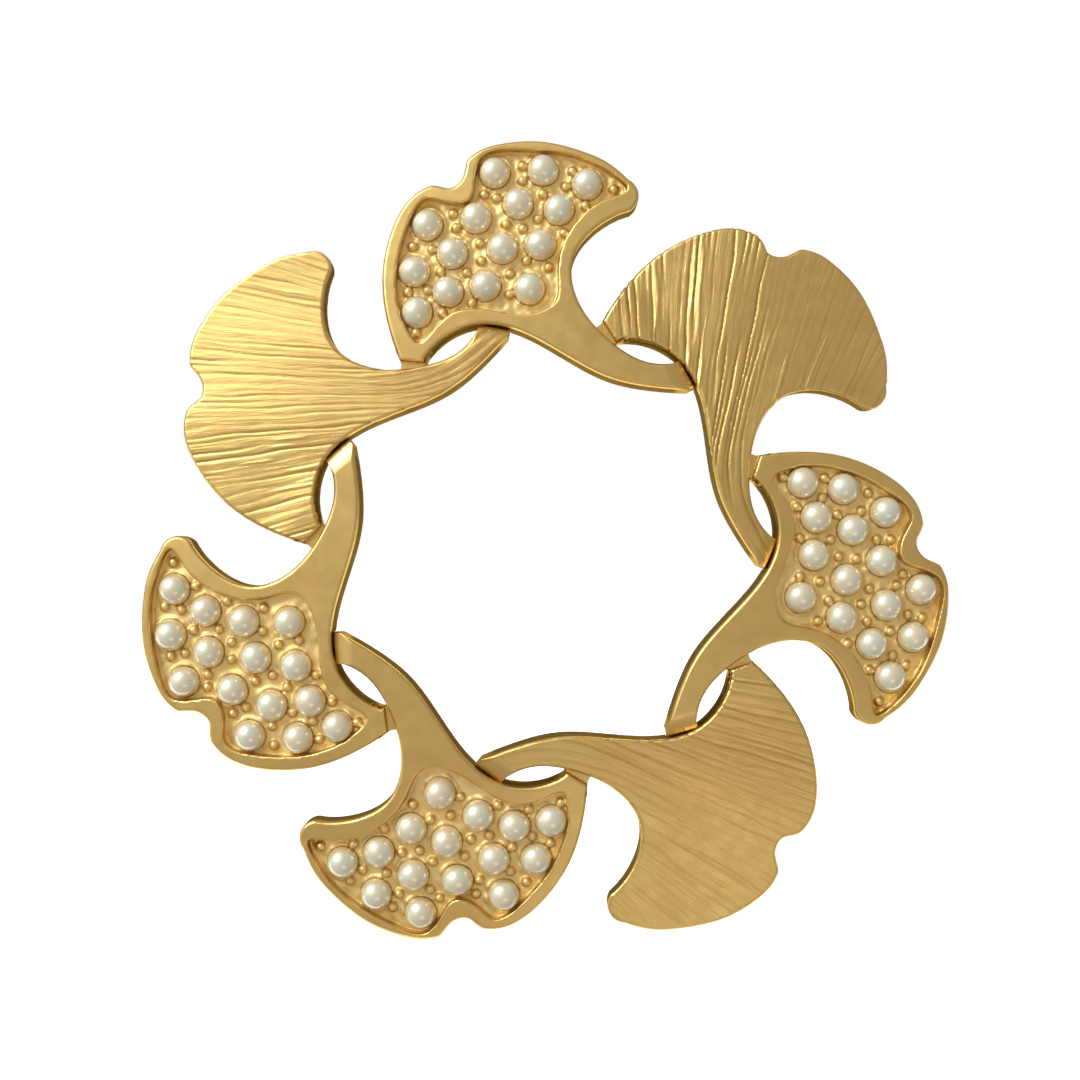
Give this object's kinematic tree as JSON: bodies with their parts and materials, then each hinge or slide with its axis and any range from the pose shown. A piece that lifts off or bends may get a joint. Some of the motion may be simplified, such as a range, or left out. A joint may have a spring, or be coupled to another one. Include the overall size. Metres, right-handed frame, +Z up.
{
  "type": "pearl and ginkgo leaf wreath brooch",
  "caption": "Round openwork brooch of overlapping gold-tone ginkgo leaves, some set with small pearls, with a hinged pin and a turning safety catch behind.",
  "frame": {"origin": "on the axis of the wreath, in the plane of the leaves' flat backs, which is the side that lies on the garment", "axes": "upright, as worn: +Z up through the top pearl leaf, -Y out of the decorated front along the wreath's axis, +Y into the garment, +X to the right seen from the front"},
  "size_m": [0.0603, 0.0079, 0.0597],
  "materials": {
    "gold_casting": "satin gold plate on a casting",
    "gold_findings": "satin gold plate on stamped findings",
    "pearl": "pearlescent lacquer",
    "pin_steel": "gold-washed drawn steel"
  },
  "bodies": {
    "wreath": {"leaf_bottom_pearl": "gold_casting", "leaf_left_pearl": "gold_casting", "leaf_lower_right_ridged": "gold_casting", "leaf_right_pearl": "gold_casting", "leaf_top_pearl": "gold_casting", "leaf_upper_left_ridged": "gold_casting", "leaf_upper_right_ridged": "gold_casting", "pearls_bottom_inner_row": "pearl", "pearls_bottom_outer_row": "pearl", "pearls_bottom_second_row": "pearl", "pearls_bottom_third_row": "pearl", "pearls_left_inner_row": "pearl", "pearls_left_outer_row": "pearl", "pearls_left_second_row": "pearl", "pearls_left_third_row": "pearl", "pearls_right_inner_row": "pearl", "pearls_right_outer_row": "pearl", "pearls_right_second_row": "pearl", "pearls_right_third_row": "pearl", "pearls_top_inner_row": "pearl", "pearls_top_outer_row": "pearl", "pearls_top_second_row": "pearl", "pearls_top_third_row": "pearl", "joint_plate": "gold_findings", "hinge_rivet": "gold_findings", "catch_base": "gold_findings"},
    "pin": {"pin_stem": "pin_steel"},
    "rotor": {"catch_rotor": "gold_findings"}
  },
  "joints": [
    {"name": "pin_hinge", "type": "hinge", "parent": "wreath", "child": "pin", "pos_m": [-0.00847, 0.0022, 0.01822], "axis": [-0.6361, 0, 0.7716], "range_deg": [0, 100]},
    {"name": "catch_rotor_turn", "type": "hinge", "parent": "wreath", "child": "rotor", "pos_m": [0.00279, 0.0022, 0.02751], "axis": [-0.7716, 0, -0.6361], "range_deg": [0, 80]}
  ]
}
